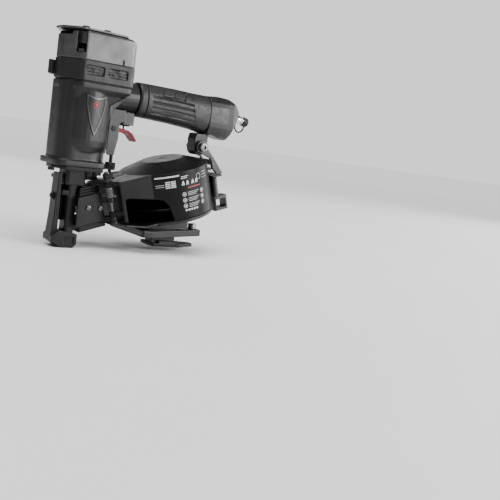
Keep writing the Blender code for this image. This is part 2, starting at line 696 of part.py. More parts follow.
def feed_door():
    low, high = 17.6, 52.5
    outline = rounded([(-139.2, low), (-99.6, low), (-99.6, high), (-128.8, high)], 1.5, 3)
    panel = prism(outline, "y", DOOR_V[0], DOOR_V[1])
    ribs = [box((-127, DOOR_V[1] - 1, w), (-101, -14.2, w + 2.0)) for w in (20, 48.0)]
    arms = []
    arm_outline = [(-103, -19.6), (-103, -16.6), (-96, -16.6), (-89.4, -27), (-96.5, -32)]
    for start, end in ((17.8, 22.8), (40.4, 46.0)):
        arms.append(knuckle(start, end))
        arms.append(prism(arm_outline, "z", start, end))
    holes = [cylinder("y", spot, 1.9, -30, 0, 12) for spot in DOOR_SCREWS]
    drum_solid("feed_door", BLACK_STEEL, panel, add=ribs + arms, cut=[pin_hole()] + holes,
               origin=(HINGE_U, HINGE_V, 0.0))
    for number, spot in enumerate(DOOR_SCREWS, 1):
        screw(f"door_screw_{number}", STEEL, "y", spot, DOOR_V[0] - GAP, DOOR_V[1], -1,
              head_r=3.0, head_h=1.6, shank_r=1.6, frame=DRUM)


def hinge_stack():
    """The pin shared by the door and the cover, with the spring and the latch lever on it."""
    shaft = [(0.0, 14.8), (HINGE_PIN_R, 14.8), (HINGE_PIN_R, 76.2), (3.6, 76.2), (3.2, 78.0), (0.0, 78.0)]
    drum_solid("hinge_pin", STEEL, turned(shaft, "z", (HINGE_U, HINGE_V), 16))
    low, high = 46.5, 59.4
    coils = 4
    profile = [(HINGE_PIN_R + GAP, high), (5.0, high)]
    pitch = (high - low) / coils
    for i in range(coils):
        top = high - i * pitch
        profile += [(5.6, top - 0.25 * pitch), (5.6, top - 0.7 * pitch), (4.9, top - 0.95 * pitch)]
    profile += [(4.9, low), (HINGE_PIN_R + GAP, low)]
    drum_solid("hinge_spring", BARE, turned(profile, "z", (HINGE_U, HINGE_V), 14))
    lever_outline = [(-98, -35), (-88, -36), (-72, -33), (-71, -27.5), (-87, -24.5), (-97, -25)]
    lever = prism(rounded(lever_outline, 2.5, 3), "z", 70.4, 75.8)
    drum_solid("door_latch", BLACK_STEEL, lever, cut=[pin_hole()], origin=(HINGE_U, HINGE_V, 70.4))


def feeder():
    barrel = [(0.0, -112), (10.5, -112), (10.5, -83), (8.5, -81), (0.0, -81)]
    bracket = box((-111, 11.3, 26), (-99.6, 24, 42))
    hollow = [(0.0, -120), (3.6, -120), (3.6, -108), (8.0, -108), (8.0, -85), (0.0, -85)]
    bore = turned(hollow, "x", FEEDER, 20)
    drum_solid("feeder_cylinder", BARE, turned(barrel, "x", FEEDER, 20), add=[bracket], cut=[bore])
    plunger = [(0.0, -127), (3.2, -127), (3.2, -104), (7.6, -104), (7.6, -100), (0.0, -100)]
    rod = turned(plunger, "x", FEEDER, 16)
    block = box((-130, 11.6, 28.5), (-124, 37.0, 39.5))
    tooth = prism([(-130, 11.8), (-124, 11.8), (-124, 6.2), (-130, 9.2)], "z", 29, 39)
    drum_solid("feed_pawl", STEEL, block, add=[rod, tooth])
    drum_solid("feed_spring", STEEL, coil("x", FEEDER, 5.6, 0.7, -99.7, -85.3, 4))


# ---------------------------------------------------------------- magazine

def drum_arc(radius, start, end, steps):
    return circle((0, 0), radius, steps, start, end)


def magazine_base():
    floor = cylinder("z", (0, 0), DRUM_R, 0, FLOOR, 48)
    lip = cylinder("z", (0, 0), DRUM_R - 1.2, -1.6, 0.4, 48)
    tail = prism(THROAT_FLOOR, "y", -28, 21)
    shelf = prism([(-84, 8.3), (-84, 11.1), (-56, FLOOR), (-30, FLOOR), (-30, 0), (-56, 0)], "y", -41.3, -27)
    wall_top = DRUM_HEIGHT - 1.2
    half = drum_arc(DRUM_R, 1.2, 160, 24) + list(reversed(drum_arc(DRUM_R - DRUM_WALL, 1.2, 160, 24)))
    wall = prism(half, "z", 2, wall_top)
    throat = prism([(-98.4, 13), (-98.4, wall_top), (-50, wall_top), (-50, 1), (-56, 1)], "y", 18, 21)
    post = turned([(0.0, 1), (8.0, 1), (8.0, 4.2), (5.0, 4.6), (5.0, 44), (4.0, 45.5), (0.0, 45.5)], sides=20)
    hinge_foot = prism([(-98.4, -26), (-97.4, -31), (-93, -34.4), (-88.5, -31), (-87, -26)], "z", 13.2, 15.2)
    lower_knuckle = knuckle(12.8, 17.4)
    boss = box((54.5, 6.5, 8), (66, 17, 44))
    fins = [box((63, -17, 36.6), (78, 17, 39.0)), box((63, 6.5, 42.6), (79, 17, 45.0))]
    return drum_solid("magazine_base", PLASTIC, floor,
                      add=[lip, tail, shelf, wall, throat, post, hinge_foot, lower_knuckle, boss] + fins,
                      cut=[cylinder("z", (HINGE_U, HINGE_V), HINGE_PIN_R + GAP, 14.4, 20, 16)])


def magazine_cover():
    """The near half of the drum's wall with its window, and the whole coned lid."""
    top = DRUM_HEIGHT
    outer = drum_arc(DRUM_R, -0.6, -134, 24) + [(-84, -41.2), (-84, -32)]
    inner = [(-81.8, -32), (-81.8, -38.8)] + list(reversed(drum_arc(DRUM_R - DRUM_WALL, -0.6, -134, 24)))
    wall = prism(outer + inner, "z", 3.2, top)
    lid = turned([
        (0.0, LID_TOP - 0.6), (3.0, LID_TOP - 0.6), (4.0, LID_TOP), (LID_TOP_R, LID_TOP),
        (DRUM_R, top + 0.4), (DRUM_R, top - 1.0), (DRUM_R - 3, top - 1.0), (LID_TOP_R - 1, LID_TOP - 2.4),
        (0.0, LID_TOP - 2.4),
    ], sides=48)
    shelf = prism([(-84, -41.2), (-38, -41.2), (-38, 21), (-74, 21), (-74, -12), (-84, -12)],
                  "z", top - 1.0, top + 1.0)
    knuckles = []
    for low, high in ((23.2, 28.6), (59.8, 65.4)):
        knuckles.append(knuckle(low, high))
        knuckles.append(prism([(-93, -34.4), (-83, -41), (-83, -33), (-89.5, -27.5)], "z", low, high))
    window_outline = [(-79, -20), (-79, 43.0), (-31, 31.0), (-26, 24), (-16.5, -20)]
    window = prism(rounded(window_outline, 4, 4), "y", -80, -36)
    floor_gap = prism([(-110, -30), (-110, 23), (-78, 12.5), (-56, 3.2), (-56, -30)], "y", -60, 60)
    return drum_solid("magazine_cover", PLASTIC, lid, add=[wall, shelf] + knuckles,
                      cut=[window, pin_hole(), floor_gap], origin=(HINGE_U, HINGE_V, 0.0))


def nail_tray():
    profile = [
        (5.4, 33), (8.2, 33), (8.2, 17.4), (46, 17), (50.2, 18.6), (47.5, 14.6), (9.5, 14.6), (9.5, 8),
        (5.4, 8),
    ]
    drum_solid("nail_tray", PLASTIC, turned(profile, sides=32), origin=(0.0, 0.0, 8.0))


def cover_latch():
    """The rear latch: an upright plate with a finger loop at its foot."""
    outline = [(62.6, 1.5), (62.9, -16), (66, -18), (72, -12), (72, 3.5), (66, 5.0)]
    plate = prism(rounded(outline, 1.5, 3), "z", 9, 35.6)
    loop = prism(rounded([(62.8, -14), (84, -14), (84, 2), (62.8, 2)], 3, 3), "z", -10, 9.4)
    gap = box((66, -30, -6.5), (80.5, 30, 5.5))
    pivot = cylinder("z", LATCH_PIVOT, 3.2, 9, 36.2, 16)
    drum_solid("cover_latch", BLACK_STEEL, plate, add=[loop, pivot], cut=[gap], origin=(*LATCH_PIVOT, 9.0))


def magazine():
    magazine_base()
    magazine_cover()
    nail_tray()
    cover_latch()


# ---------------------------------------------------------------- rear bracket and shingle guide

def bracket():
    """Two cheeks on the end cap's lug, joined behind the magazine; the near one runs on as a strut."""
    eye = [(158.4, 140.5)] + circle(BRACKET_BOLT, 8.6, 12, 170, -10) + [(180.5, 134.5)]
    strut = [(191.0, 123.6), (203.1, 109.8), (195.2, 107.3), (186.0, 114.5)]
    stub = [(188.0, 119.6), (185.2, 118.4)]
    lower = [(183.0, 124), (180.5, 127.6), (170, 131.2), (160, 133.8)]
    near = prism(eye + strut + lower, "y", -17.0, -12.4)
    far = prism(eye + stub + lower, "y", 7.4, 11.0)
    bridge_outline = [(182.0, 126.4), (184.2, 124.0), (188.0, 119.6), (185.2, 118.4), (183.4, 122.6)]
    bridge = prism(bridge_outline, "y", -17, 11)
    hole = cylinder("y", BRACKET_BOLT, BRACKET_HOLE_R, -40, 40, 16)
    solid("bracket_link", BARE, near, add=[far, bridge], cut=[hole])
    screw("bracket_bolt", STEEL, "y", BRACKET_BOLT, -17.3, 17.0, -1, head_r=6.0, shank_r=3.4)
    nut = cylinder("y", BRACKET_BOLT, 6.4, 11.3, 15.8, 6)
    solid("bracket_nut", STEEL, nut, cut=[cylinder("y", BRACKET_BOLT, BRACKET_HOLE_R, 0, 30)])


def guides():
    """The rail under the magazine and the shingle guide that slides along it."""
    outline = [(78, -46), (92, -46), (186, -8), (186, 8), (92, 46), (78, 46)]
    plate = prism(rounded(outline, 2, 3), "z", 21.5, 30.0)
    relief = prism(rounded([(90, -34), (166, -9), (166, 9), (90, 34)], 6, 4), "z", 25.0, 40)
    screw_hole = cylinder("z", GUIDE_SCREW, 2.8, 0, 60, 12)
    pillar = prism([(100, 28), (100, 34.3), (160, 52.4), (160, 28)], "y", -15, 15)
    strip = box((108, -15, 24.0), (152, 15, 31))
    solid("guide_rail", PLASTIC, plate, cut=[relief, screw_hole], late=[pillar, strip])
    sole = [(111, -14), (150, -16), (179, -2), (179, 8), (150, 20), (111, 20)]
    riser = box((112, -9, 10), (146, 9, 21.2))
    wear = box((120, -14.4, 10), (148, -9.4, 13.6))
    solid("shingle_guide", BLACK_STEEL, prism(rounded(sole, 2, 3), "z", 6.0, 10.4), add=[riser, wear])
    screw("guide_screw", STEEL, "z", GUIDE_SCREW, 30.3, 21.9, 1, head_r=5.4, head_h=7.0, shank_r=2.5)


housing()
head()
handle()
trigger_set()
nose()
driver_guide()
contact_set()
feed_guide()
feed_door()
hinge_stack()
feeder()
magazine()
bracket()
guides()
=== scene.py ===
import json
import math

import bmesh
import bpy
from mathutils import Matrix, Vector


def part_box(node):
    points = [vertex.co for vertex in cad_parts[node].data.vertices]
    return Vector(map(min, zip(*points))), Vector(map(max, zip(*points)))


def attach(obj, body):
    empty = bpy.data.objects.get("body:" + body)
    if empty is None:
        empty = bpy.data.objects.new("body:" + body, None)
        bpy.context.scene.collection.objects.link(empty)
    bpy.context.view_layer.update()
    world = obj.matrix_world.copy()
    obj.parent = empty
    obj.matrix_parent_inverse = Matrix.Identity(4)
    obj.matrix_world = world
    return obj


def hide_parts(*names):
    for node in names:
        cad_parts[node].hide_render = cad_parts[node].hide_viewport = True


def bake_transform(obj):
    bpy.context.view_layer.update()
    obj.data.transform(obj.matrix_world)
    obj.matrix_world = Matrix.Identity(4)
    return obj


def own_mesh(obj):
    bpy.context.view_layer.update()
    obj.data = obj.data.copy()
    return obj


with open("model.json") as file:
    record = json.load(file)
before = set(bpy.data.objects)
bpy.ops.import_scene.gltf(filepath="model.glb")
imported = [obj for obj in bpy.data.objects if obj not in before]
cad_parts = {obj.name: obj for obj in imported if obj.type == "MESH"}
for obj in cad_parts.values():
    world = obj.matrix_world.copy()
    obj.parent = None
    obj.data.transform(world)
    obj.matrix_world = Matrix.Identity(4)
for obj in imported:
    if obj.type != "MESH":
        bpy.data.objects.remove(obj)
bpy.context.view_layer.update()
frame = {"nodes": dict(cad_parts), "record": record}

# The looks of a pneumatic coil roofing nailer. Lengths are in millimetres, turned into metres
# by MM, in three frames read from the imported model: the tool's own, the tilted magazine's
# and the air plug's.

MM = 0.001
RECORD = frame["record"]
JOINTS = {joint["name"]: joint for joint in RECORD["behaviour"]["joints"]}
BODY_OF = {node: body for body, nodes in RECORD["behaviour"]["bodies"].items() for node in nodes}
SLOT_OF = {part["node"]: part["material_slot"] for part in RECORD["subparts"]}


def middle(node):
    low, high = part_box(node)
    return (low + high) / 2


def frame_of(origin, across, up):
    """A frame whose X runs along across and whose Z runs along up, scaled to millimetres."""
    z = Vector(up).normalized()
    x = Vector(across).normalized()
    y = z.cross(x)
    turn = Matrix((x, y, z)).transposed().to_4x4()
    return Matrix.Translation(origin) @ turn @ Matrix.Scale(MM, 4)


# The tool's frame: Z up, X back towards the plug, and the drive line in front of the origin.
DRIVE = (-3.0, 0.0)
TOOL = Matrix.Translation((middle("driver_blade").x - DRIVE[0] * MM, 0, 0)) @ Matrix.Scale(MM, 4)

# The magazine's frame: Z up along the drum's axis, X back. HINGE is a point on the pin that the
# feed door and the cover share.
UP = Vector(JOINTS["tray_height"]["axis"])
BACK = Vector(JOINTS["pawl_stroke"]["axis"])
HINGE = Vector((-93.0, -30.0, 40.0))
DRUM = frame_of(JOINTS["feed_door_swing"]["pos_m"], BACK, UP) @ Matrix.Translation(-HINGE)

# The air plug's frame: Z along the plug, out of the handle.
PLUG_SEAT = Vector((214.6, 0, 186.5))
PLUG_AXIS = Vector(JOINTS["dust_cap_pull"]["axis"])
PLUG = frame_of(TOOL @ PLUG_SEAT, (PLUG_AXIS.z, 0, -PLUG_AXIS.x), PLUG_AXIS)


# ---------------------------------------------------------------- shapes in millimetres

def circle(centre, radius, sides):
    angles = [math.radians(360.0 * i / sides) for i in range(sides)]
    return [(centre[0] + radius * math.cos(a), centre[1] + radius * math.sin(a)) for a in angles]


def place(axis, a, b, height):
    """The point with the coordinates a and b across an axis, and height along it."""
    return {"z": (a, b, height), "y": (a, height, b), "x": (height, a, b)}[axis]


def loft(rings, closed=False):
    """A solid through rings of equal length, capped at its ends or joined into a loop."""
    bm = bmesh.new()
    rows = [[bm.verts.new(point) for point in ring] for ring in rings]
    count = len(rows[0])
    pairs = list(zip(rows, rows[1:])) + ([(rows[-1], rows[0])] if closed else [])
    for low, high in pairs:
        for i in range(count):
            j = (i + 1) % count
            bm.faces.new((low[i], low[j], high[j], high[i]))
    if not closed:
        bm.faces.new(rows[0])
        bm.faces.new(rows[-1])
    return bm


def prism(points, axis, low, high):
    """An outline drawn across an axis, made solid from low to high along it."""
    return loft([[place(axis, a, b, height) for a, b in points] for height in (low, high)])


def box(low, high):
    """A box between two opposite corners."""
    corners = [(low[0], low[1]), (high[0], low[1]), (high[0], high[1]), (low[0], high[1])]
    return prism(corners, "z", low[2], high[2])


def turned(profile, axis="z", centre=(0.0, 0.0), sides=64):
    """A solid turned from (radius, height) pairs, with a point wherever a radius is 0."""
    bm = bmesh.new()
    rows = []
    for radius, height in profile:
        points = [(0.0, 0.0)] if radius == 0 else circle((0, 0), radius, sides)
        rows.append([bm.verts.new(place(axis, centre[0] + a, centre[1] + b, height))
                     for a, b in points])
    bored = all(radius > 0 for radius, _ in profile)
    pairs = list(zip(rows, rows[1:])) + ([(rows[-1], rows[0])] if bored else [])
    for low, high in pairs:
        for i in range(sides):
            j = (i + 1) % sides
            corners = [low[i % len(low)], low[j % len(low)],
                       high[j % len(high)], high[i % len(high)]]
            distinct = list(dict.fromkeys(corners))
            if len(distinct) > 2:
                bm.faces.new(distinct)
    return bm


WIRE_SIDES = 12


def wire(points, radius):
    """A round wire through a list of points, cut off square at its ends."""
    path = [Vector(point) for point in points]
    rows = []
    side = None
    for i, point in enumerate(path):
        along = (path[min(i + 1, len(path) - 1)] - path[max(i - 1, 0)]).normalized()
        guess = side if side is not None else along.orthogonal()
        side = (guess - along * guess.dot(along)).normalized()
        other = along.cross(side)
        rows.append([point + (side * a + other * b) * radius
                     for a, b in circle((0, 0), 1.0, WIRE_SIDES)])
    return loft(rows)


COIL_STEPS = 36   # points in each turn
COIL_FLAT = 0.7   # turns that lie flat at each end


def helix(axis, centre, radius, low, high, turns):
    """The centre line of a coil, with its end turns lying flat."""
    points = []
    steps = int(turns * COIL_STEPS)
    for i in range(steps + 1):
        share = i / steps
        angle = 2 * math.pi * turns * share
        eased = min(max((share * turns - COIL_FLAT) / (turns - 2 * COIL_FLAT), 0.0), 1.0)
        height = low + (high - low) * eased
        points.append(Vector(place(axis, centre[0] + radius * math.cos(angle),
                                   centre[1] + radius * math.sin(angle), height)))
    return points


# ---------------------------------------------------------------- node materials

class Finish:
    """A material being wired up: one Principled shader and small node helpers.

    Textures run on object coordinates in metres, so a noise scale of 700 gives spots of about
    1.4 mm. A texture's value from 0 to 1 is stretched by ranged() to what it drives.
    """

    def __init__(self, name):
        self.material = bpy.data.materials.new(name)
        self.material.use_nodes = True
        self.tree = self.material.node_tree
        self.shader = self.tree.nodes["Principled BSDF"]
        self.place = self.node("ShaderNodeTexCoord").outputs["Object"]

    def node(self, kind, **settings):
        made = self.tree.nodes.new(kind)
        for key, value in settings.items():
            setattr(made, key, value)
        return made

    def link(self, source, target):
        if isinstance(source, (int, float)):
            target.default_value = source
        elif isinstance(source, tuple):
            target.default_value = (*source, 1.0)
        else:
            self.tree.links.new(source, target)

    def set(self, **values):
        for key, value in values.items():
            self.link(value, self.shader.inputs[key.replace("_", " ")])

    def stretched(self, scale):
        made = self.node("ShaderNodeMapping")
        self.link(self.place, made.inputs["Vector"])
        made.inputs["Scale"].default_value = scale
        return made.outputs["Vector"]

    def noise(self, scale, detail=3.0, rough=0.55, where=None):
        made = self.node("ShaderNodeTexNoise")
        self.link(where or self.place, made.inputs["Vector"])
        self.link(scale, made.inputs["Scale"])
        self.link(detail, made.inputs["Detail"])
        self.link(rough, made.inputs["Roughness"])
        return made.outputs["Fac"]

    def cells(self, scale):
        made = self.node("ShaderNodeTexVoronoi", feature="SMOOTH_F1")
        self.link(self.place, made.inputs["Vector"])
        self.link(scale, made.inputs["Scale"])
        return made.outputs["Distance"]

    def ranged(self, value, low, high, to_low=0.0, to_high=1.0):
        """The value, with low to high stretched smoothly to to_low to to_high."""
        made = self.node("ShaderNodeMapRange", interpolation_type="SMOOTHSTEP")
        self.link(value, made.inputs["Value"])
        ends = {"From Min": low, "From Max": high, "To Min": to_low, "To Max": to_high}
        for socket, number in ends.items():
            self.link(number, made.inputs[socket])
        return made.outputs["Result"]

    def maths(self, operation, a, b):
        made = self.node("ShaderNodeMath", operation=operation)
        self.link(a, made.inputs[0])
        self.link(b, made.inputs[1])
        return made.outputs["Value"]

    def mix(self, share, a, b):
        made = self.node("ShaderNodeMix", data_type="RGBA")
        self.link(share, made.inputs["Factor"])
        self.link(a, made.inputs["A"])
        self.link(b, made.inputs["B"])
        return made.outputs["Result"]

    def edges(self, low, high):
        """1 where the pointiness is high, 0 where it is low: a flat has 0.5, an outer edge more."""
        point = self.node("ShaderNodeNewGeometry").outputs["Pointiness"]
        return self.ranged(point, low, high)

    def bump(self, *layers):
        """Stacked bumps, each (height, strength, depth in millimetres)."""
        normal = None
        for height, strength, depth in layers:
            made = self.node("ShaderNodeBump")
            self.link(height, made.inputs["Height"])
            self.link(strength, made.inputs["Strength"])
            self.link(depth * MM, made.inputs["Distance"])
            if normal is not None:
                self.link(normal, made.inputs["Normal"])
            normal = made.outputs["Normal"]
        self.link(normal, self.shader.inputs["Normal"])


def shade(colour, factor):
    return tuple(channel * factor for channel in colour)


def painted(name, colour, rough, wear_colour, gloss, metal=0.0, grain=700.0):
    """Satin paint on a casting: fine orange peel, cloudy tone, rubbed edges, and painted shade that darkens
    the corners and hollows.
    """
    made = Finish(name)
    cloud = made.noise(28.0, 4.0)
    tone = made.mix(made.ranged(cloud, 0.3, 0.7), shade(colour, 0.82), shade(colour, 1.18))
    patchy = made.ranged(made.noise(160.0, 5.0, 0.7), 0.42, 0.66)
    rubbed = made.maths("MULTIPLY", made.edges(0.53, 0.62), made.maths("MULTIPLY", patchy, 0.35))
    # Painted shade: where the pointiness is low, in corners and hollows, the paint is darkened towards 0.45
    # of its colour.
    hollow_shade = made.maths("MULTIPLY", made.edges(0.49, 0.40), 0.25)
    tone = made.mix(hollow_shade, tone, shade(colour, 0.45))
    made.set(Base_Color=made.mix(rubbed, tone, wear_colour))
    made.set(Roughness=made.ranged(made.noise(90.0, 5.0, 0.65), 0.3, 0.7, rough - 0.06, rough + 0.08))
    made.set(Metallic=made.maths("ADD", made.maths("MULTIPLY", rubbed, 0.5), metal))
    made.set(Specular_IOR_Level=gloss)
    made.bump((made.noise(grain, 2.0), 0.22, 0.12), (made.noise(120.0, 3.0), 0.1, 0.25))
    return made.material


DUST = (0.12, 0.118, 0.115)


def moulded(name, colour, rough, cell_size, depth, dust, gloss):
    """Spark-textured plastic or rubber under a thin, patchy film of dust."""
    made = Finish(name)
    tone = made.mix(made.ranged(made.noise(35.0, 4.0), 0.3, 0.7), shade(colour, 0.85), shade(colour, 1.2))
    film = made.maths("MULTIPLY", made.ranged(made.noise(60.0, 6.0, 0.7), 0.5, 0.75), dust)
    made.set(Base_Color=made.mix(film, tone, DUST))
    made.set(Roughness=made.ranged(made.noise(140.0, 4.0), 0.3, 0.7, rough - 0.05, rough + 0.1))
    made.set(Specular_IOR_Level=gloss)
    made.bump((made.cells(1000.0 / cell_size), 0.35, depth), (made.noise(220.0, 3.0), 0.1, depth))
    return made.material


def steel(name, colour, rough, streak, wear_colour, metal=0.9, gloss=0.3):
    """Machined, blackened or plated steel with fine drawn lines and bright rubbed edges."""
    made = Finish(name)
    lines = made.noise(1.0, 4.0, 0.6, made.stretched(streak))
    tone = made.mix(made.ranged(lines, 0.3, 0.7), shade(colour, 0.75), shade(colour, 1.25))
    spots = made.ranged(made.noise(240.0, 5.0, 0.7), 0.4, 0.62)
    rubbed = made.maths("MULTIPLY", made.edges(0.52, 0.60), made.maths("MULTIPLY", spots, 0.5))
    made.set(Base_Color=made.mix(rubbed, tone, wear_colour))
    made.set(Metallic=metal)
    made.set(Specular_IOR_Level=gloss)
    made.set(Roughness=made.ranged(lines, 0.25, 0.75, rough - 0.07, rough + 0.1))
    made.bump((lines, 0.12, 0.05), (made.noise(500.0, 2.0), 0.08, 0.06))
    return made.material


def raw_casting(name, colour):
    """Unpainted die casting: sandy skin with flow marks."""
    made = Finish(name)
    flow = made.noise(45.0, 6.0, 0.65)
    tone = made.mix(made.ranged(flow, 0.32, 0.68), shade(colour, 0.65), shade(colour, 1.25))
    rubbed = made.maths("MULTIPLY", made.edges(0.52, 0.60), 0.45)
    made.set(Base_Color=made.mix(rubbed, tone, (0.5, 0.5, 0.5)))
    made.set(Metallic=0.75)
    made.set(Roughness=made.ranged(flow, 0.3, 0.7, 0.36, 0.55))
    made.bump((made.noise(900.0, 3.0, 0.6), 0.3, 0.15), (flow, 0.15, 0.4))
    return made.material


def printed(name, colour):
    """Screen-printed ink: nearly even, with thin spots that let the ground show."""
    made = Finish(name)
    thin = made.ranged(made.noise(700.0, 4.0, 0.7), 0.56, 0.72)
    made.set(Base_Color=made.mix(made.maths("MULTIPLY", thin, 0.6), colour, shade(colour, 0.3)))
    made.set(Roughness=made.ranged(made.noise(200.0), 0.3, 0.7, 0.4, 0.6))
    made.bump((made.noise(1200.0, 2.0), 0.15, 0.05))
    return made.material


def glossy_red(name, colour):
    """Thick powder coat with orange peel under a clear skin."""
    made = Finish(name)
    cloud = made.noise(60.0, 4.0)
    tone = made.mix(made.ranged(cloud, 0.3, 0.7), shade(colour, 0.8), shade(colour, 1.15))
    rubbed = made.maths("MULTIPLY", made.edges(0.56, 0.66), 0.25)
    made.set(Base_Color=made.mix(rubbed, tone, (0.3, 0.02, 0.02)))
    made.set(Specular_IOR_Level=0.1)
    made.set(Roughness=made.ranged(cloud, 0.3, 0.7, 0.3, 0.42))
    made.set(Coat_Weight=0.03)
    made.set(Coat_Roughness=0.15)
    made.bump((made.noise(420.0, 2.0), 0.2, 0.12))
    return made.material


ALONG_Y = (500, 60, 500)  # the scale of streaks that run along Y
ACROSS_Y = (60, 900, 60)  # and of streaks that run across it
EVENLY = (200, 200, 200)  # spots without a direction

FINISH = {
    "dark_paint": painted("charcoal_paint", (0.010, 0.010, 0.0105), 0.38, (0.1, 0.1, 0.104), gloss=0.32),
    "cap_paint": painted("grey_paint", (0.08, 0.08, 0.082), 0.36, (0.25, 0.25, 0.25), gloss=0.5,
                         metal=0.75),
    "grey_casting": raw_casting("raw_casting", (0.042, 0.042, 0.0435)),
    "black_steel": steel("blackened_steel", (0.008, 0.008, 0.0085), 0.34, ACROSS_Y, (0.13, 0.13, 0.134),
                         metal=0.12, gloss=0.22),
    "black_plastic": moulded("black_plastic", (0.006, 0.006, 0.0063), 0.34, cell_size=0.45,
                             depth=0.035, dust=0.08, gloss=0.3),
    "black_rubber": moulded("black_rubber", (0.012, 0.012, 0.012), 0.46, cell_size=0.6,
                            depth=0.06, dust=0.12, gloss=0.36),
    "bright_steel": steel("bright_steel", (0.62, 0.62, 0.63), 0.17, ALONG_Y, (0.9, 0.9, 0.9), metal=1.0),
    "plain_steel": steel("plain_steel", (0.1, 0.1, 0.103), 0.34, ALONG_Y, (0.35, 0.35, 0.35), metal=1.0),
    "red_paint": glossy_red("crimson_coat", (0.15, 0.0, 0.011)),
}
WHITE_INK = printed("white_ink", (0.55, 0.55, 0.54))
RED_INK = printed("red_ink", (0.26, 0.0, 0.014))
COVER_BLACK = painted("canister_paint", (0.006, 0.006, 0.0063), 0.33, (0.08, 0.08, 0.083), gloss=0.11,
                      grain=1300.0)
SPRING_BLACK = steel("spring_steel", (0.04, 0.04, 0.042), 0.3, EVENLY, (0.3, 0.3, 0.3))


# ---------------------------------------------------------------- pieces

SHARP = math.radians(35)


def link_mesh(name, bm, matrix):
    """An object of its own from a bmesh in one of the millimetre frames."""
    bmesh.ops.recalc_face_normals(bm, faces=bm.faces)
    bm.transform(matrix)
    mesh = bpy.data.meshes.new(name)
    bm.to_mesh(mesh)
    bm.free()
    mesh.shade_smooth()
    mesh.set_sharp_from_angle(angle=SHARP)
    made = bpy.data.objects.new(name, mesh)
    bpy.context.scene.collection.objects.link(made)
    return made


def add_modifier(obj, kind, **settings):
    made = obj.modifiers.new(kind.title(), kind)
    for key, value in settings.items():
        setattr(made, key, value)


def settle(obj):
    """Apply every modifier to the mesh."""
    graph = bpy.context.evaluated_depsgraph_get()
    mesh = bpy.data.meshes.new_from_object(obj.evaluated_get(graph), depsgraph=graph)
    obj.modifiers.clear()
    obj.data = mesh


def dress(obj, finish, body, slot, *nodes):
    """Give a piece its material and body, and let it stand for CAD nodes. The slot it is given is not used.
    """
    obj.data.materials.clear()
    obj.data.materials.append(finish)
    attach(obj, body)
    if nodes:
        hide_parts(*nodes)
    return obj


def made_piece(name, bm, matrix, like, finish=None, stands=True):
    """A new piece with the body of the CAD node like, and its slot's finish unless one is given; it stands
    for the node if stands.
    """
    obj = link_mesh(name, bm, matrix)
    nodes = [like] if stands else []
    return dress(obj, finish or FINISH[SLOT_OF[like]], BODY_OF[like], SLOT_OF[like], *nodes)


def softened(obj, voxel, rounds, ratio):
    """Round every edge as a casting or a moulding has it: fine voxels, relaxed, then thinned."""
    grow = 1.0
    add_modifier(obj, "REMESH", mode="VOXEL", voxel_size=voxel * MM * grow)
    add_modifier(obj, "SMOOTH", factor=0.5, iterations=rounds)
    add_modifier(obj, "DECIMATE", ratio=ratio)
    settle(obj)
    obj.data.shade_smooth()


def cut_with(obj, shape, matrix):
    """Cut a bmesh shape out of a piece."""
    helper = link_mesh("cutter", shape, matrix)
    add_modifier(obj, "BOOLEAN", operation="DIFFERENCE", object=helper, solver="EXACT")
    settle(obj)
    bpy.data.objects.remove(helper)


def true_arc(obj, start, end, facets, low, high, inner):
    """Swell the drum's skin from facets to the arc they stand for.

    The arc runs from start to end in degrees and from low to high along the drum's axis, and
    takes in what lies further than inner from that axis.
    """
    back = DRUM.inverted()
    step = (end - start) / facets
    half = math.radians(step) / 2
    for vertex in obj.data.vertices:
        point = back @ vertex.co
        angle = math.degrees(math.atan2(point.y, point.x))
        if start <= angle <= end and low < point.z <= high and math.hypot(point.x, point.y) > inner:
            swell = math.cos(math.radians((angle - start) % step) - half) / math.cos(half)
            vertex.co = DRUM @ Vector((point.x * swell, point.y * swell, point.z))


def refined(node, voxel, rounds, ratio, finish=None, arcs=()):
    """A CAD node's shape with rounded edges, standing for the node.

    It is remade from voxels of that many millimetres, relaxed in so many rounds, and then
    thinned to that share of its faces.
    """
    bm = bmesh.new()
    bm.from_mesh(frame["nodes"][node].data)
    bmesh.ops.remove_doubles(bm, verts=bm.verts, dist=0.001 * MM)
    obj = link_mesh(f"fine_{node}", bm, Matrix.Identity(4))
    softened(obj, voxel, rounds, ratio)
    for arc in arcs:
        true_arc(obj, *arc)
    dress(obj, finish or FINISH[SLOT_OF[node]], BODY_OF[node], SLOT_OF[node], node)


def castings():
    """The housing, the cap and the other castings and covers that hold still."""
    refined("housing", voxel=0.7, rounds=8, ratio=0.35)
    refined("head_cap", voxel=0.55, rounds=5, ratio=0.4)
    refined("head_band", voxel=0.5, rounds=4, ratio=0.35)
    refined("end_cap", voxel=0.6, rounds=14, ratio=0.4)
    refined("trigger_bracket", voxel=0.5, rounds=3, ratio=0.5)
    refined("top_cover", voxel=0.4, rounds=2, ratio=0.4)
    refined("front_bumper", voxel=0.5, rounds=3, ratio=0.5)
    refined("cap_gasket", voxel=0.3, rounds=1, ratio=0.3)
    refined("bracket_link", voxel=0.45, rounds=3, ratio=0.5)


def working_parts():
    """The trigger, the nose, the feed and the guides. The cover's latch is bare, cast metal."""
    refined("trigger", voxel=0.3, rounds=4, ratio=0.5)
    refined("nose", voxel=0.45, rounds=2, ratio=0.4)
    refined("driver_guide", voxel=0.4, rounds=2, ratio=0.4)
    refined("contact_arm", voxel=0.4, rounds=2, ratio=0.4)
    refined("contact_link", voxel=0.4, rounds=2, ratio=0.4)
    refined("feed_guide", voxel=0.45, rounds=2, ratio=0.4)
    refined("feed_door", voxel=0.35, rounds=2, ratio=0.4)
    refined("door_latch", voxel=0.35, rounds=3, ratio=0.5)
    refined("cover_latch", voxel=0.4, rounds=3, ratio=0.5, finish=FINISH["grey_casting"])
    refined("shingle_guide", voxel=0.45, rounds=2, ratio=0.4)
    refined("feeder_cylinder", voxel=0.45, rounds=3, ratio=0.4)
    refined("feed_pawl", voxel=0.4, rounds=2, ratio=0.4)


